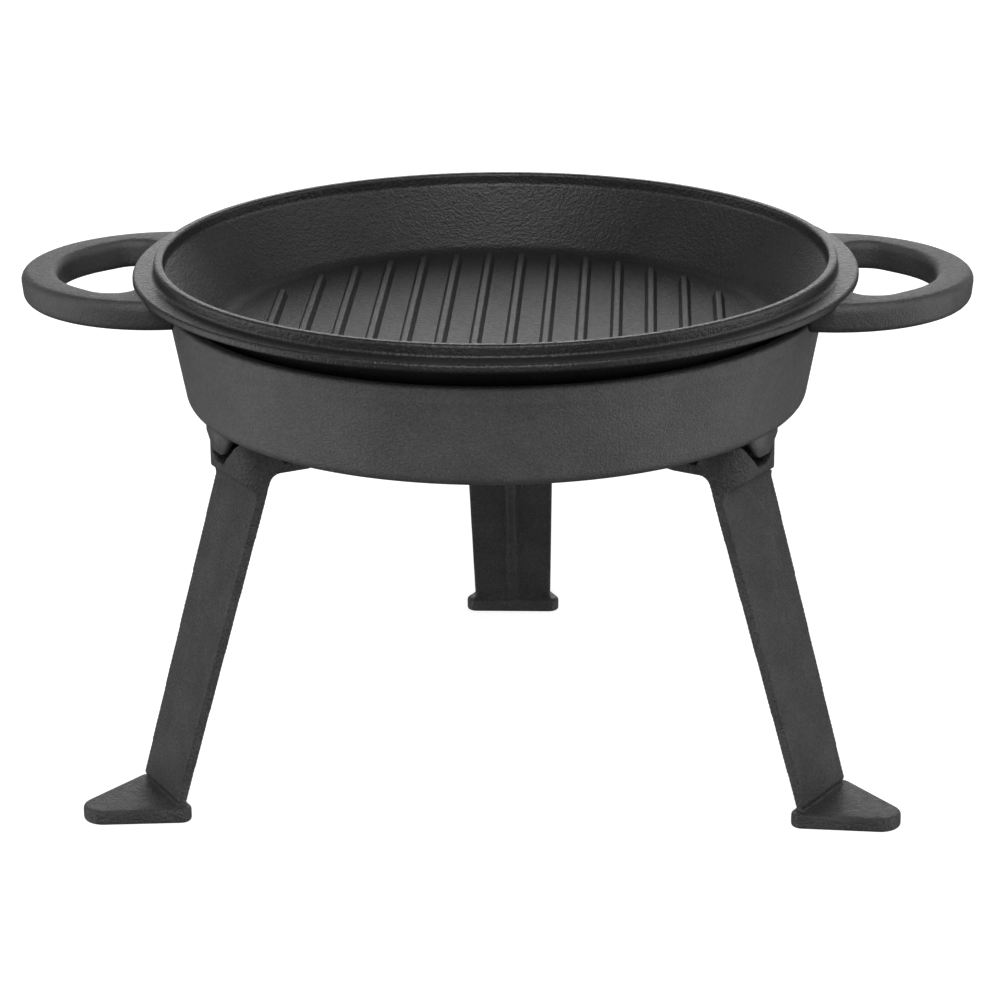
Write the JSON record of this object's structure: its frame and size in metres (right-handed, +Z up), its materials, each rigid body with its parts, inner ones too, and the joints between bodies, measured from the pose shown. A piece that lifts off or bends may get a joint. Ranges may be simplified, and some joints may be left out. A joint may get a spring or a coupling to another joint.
{
  "type": "cast iron fire bowl with grill pan",
  "caption": "Round cast iron fire bowl on splayed bolted legs, with a lift-off ribbed grill pan that has loop handles and rests on the bowl's rim.",
  "frame": {"origin": "on the bowl's axis, at the level of the three foot soles", "axes": "+Z up along the bowl's axis; +X to the right, through the handles; -Y to the front, between the two front legs"},
  "size_m": [0.4051, 0.3509, 0.2227],
  "materials": {
    "bowl_iron": "dark grey sand cast, matt",
    "pan_iron": "black seasoned casting, satin",
    "leg_iron": "dark grey sand cast, grainy",
    "fastener_steel": "blackened steel"
  },
  "bodies": {
    "fire_bowl": {"bowl": "bowl_iron", "leg_front_left": "leg_iron", "screw_front_left": "fastener_steel", "washer_front_left": "fastener_steel", "spring_washer_front_left": "fastener_steel", "leg_front_right": "leg_iron", "screw_front_right": "fastener_steel", "washer_front_right": "fastener_steel", "spring_washer_front_right": "fastener_steel", "leg_back": "leg_iron", "screw_back": "fastener_steel", "washer_back": "fastener_steel", "spring_washer_back": "fastener_steel"},
    "grill_pan": {"grill_pan": "pan_iron"}
  },
  "joints": [
    {"name": "pan_lift", "type": "slide", "parent": "fire_bowl", "child": "grill_pan", "axis": [0, 0, 1], "range_m": [0, 0.12]}
  ]
}
